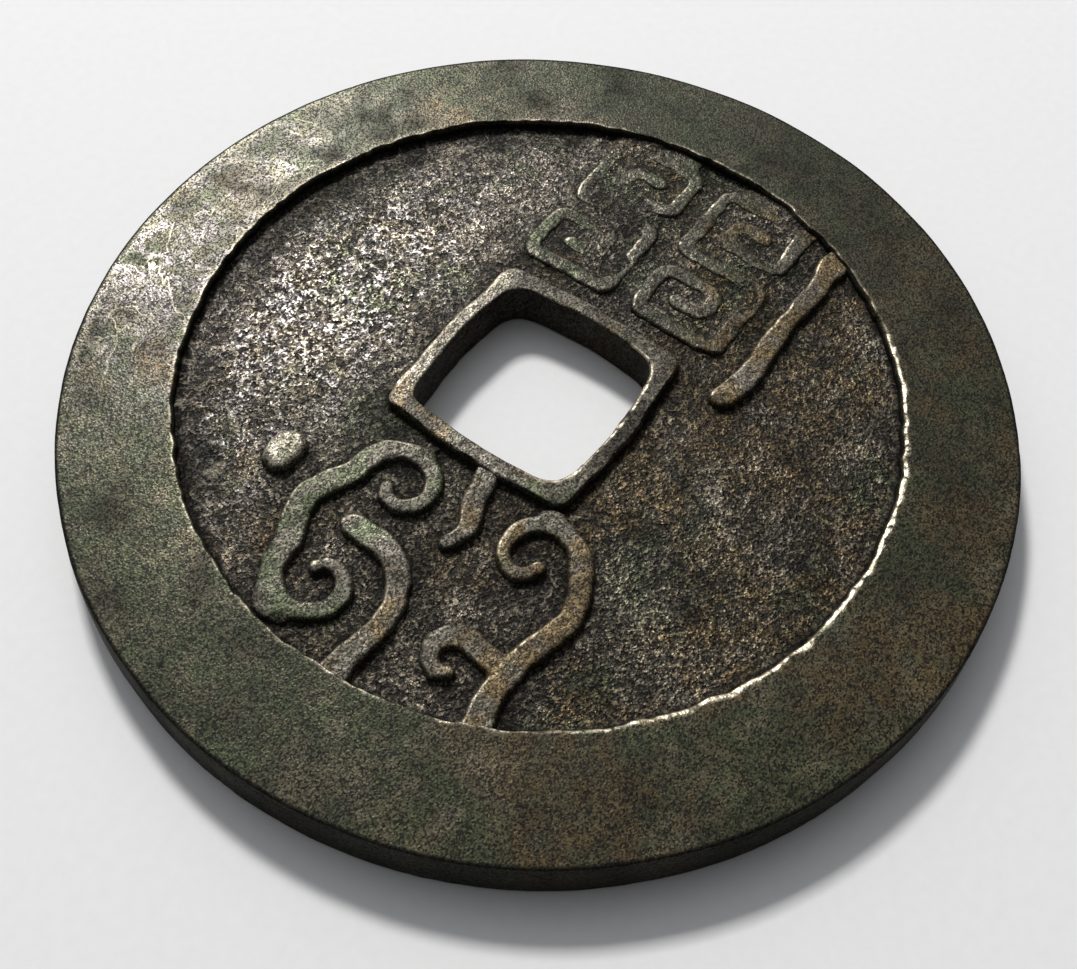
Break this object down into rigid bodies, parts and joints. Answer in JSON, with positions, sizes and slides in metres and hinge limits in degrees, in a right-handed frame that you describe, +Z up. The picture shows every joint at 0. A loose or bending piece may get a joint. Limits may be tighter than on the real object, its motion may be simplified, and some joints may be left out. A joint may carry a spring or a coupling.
{
  "type": "cash coin",
  "caption": "Large cast-bronze cash coin: square stringing hole, broad raised rim, sunken grainy field, and raised cloud, wave and fret ornament either side of the hole.",
  "frame": {"origin": "centre of the outer edge, at the plane of the back's rim that the coin lies on", "axes": "+Z up out of the front face, +Y to the coin's top, +X to its right"},
  "size_m": [0.05, 0.05, 0.0028],
  "materials": {
    "rim_bronze": "satin, mottled olive and brown patina with fine scratches",
    "field_patina": "rough sand-cast surface, dark brown and black patina with pale grains",
    "worn_bronze": "worn pale high points, dull satin",
    "fret_bronze": "low worn relief, dull olive brown"
  },
  "bodies": {
    "root": {"outer_rim": "rim_bronze", "field": "field_patina", "hole_rim": "worn_bronze", "star": "worn_bronze", "cloud_head": "worn_bronze", "cloud_wisp": "worn_bronze", "cloud_tail": "worn_bronze", "wave": "worn_bronze", "fret_upper": "fret_bronze", "fret_lower": "fret_bronze", "ground_line": "worn_bronze"}
  },
  "joints": []
}
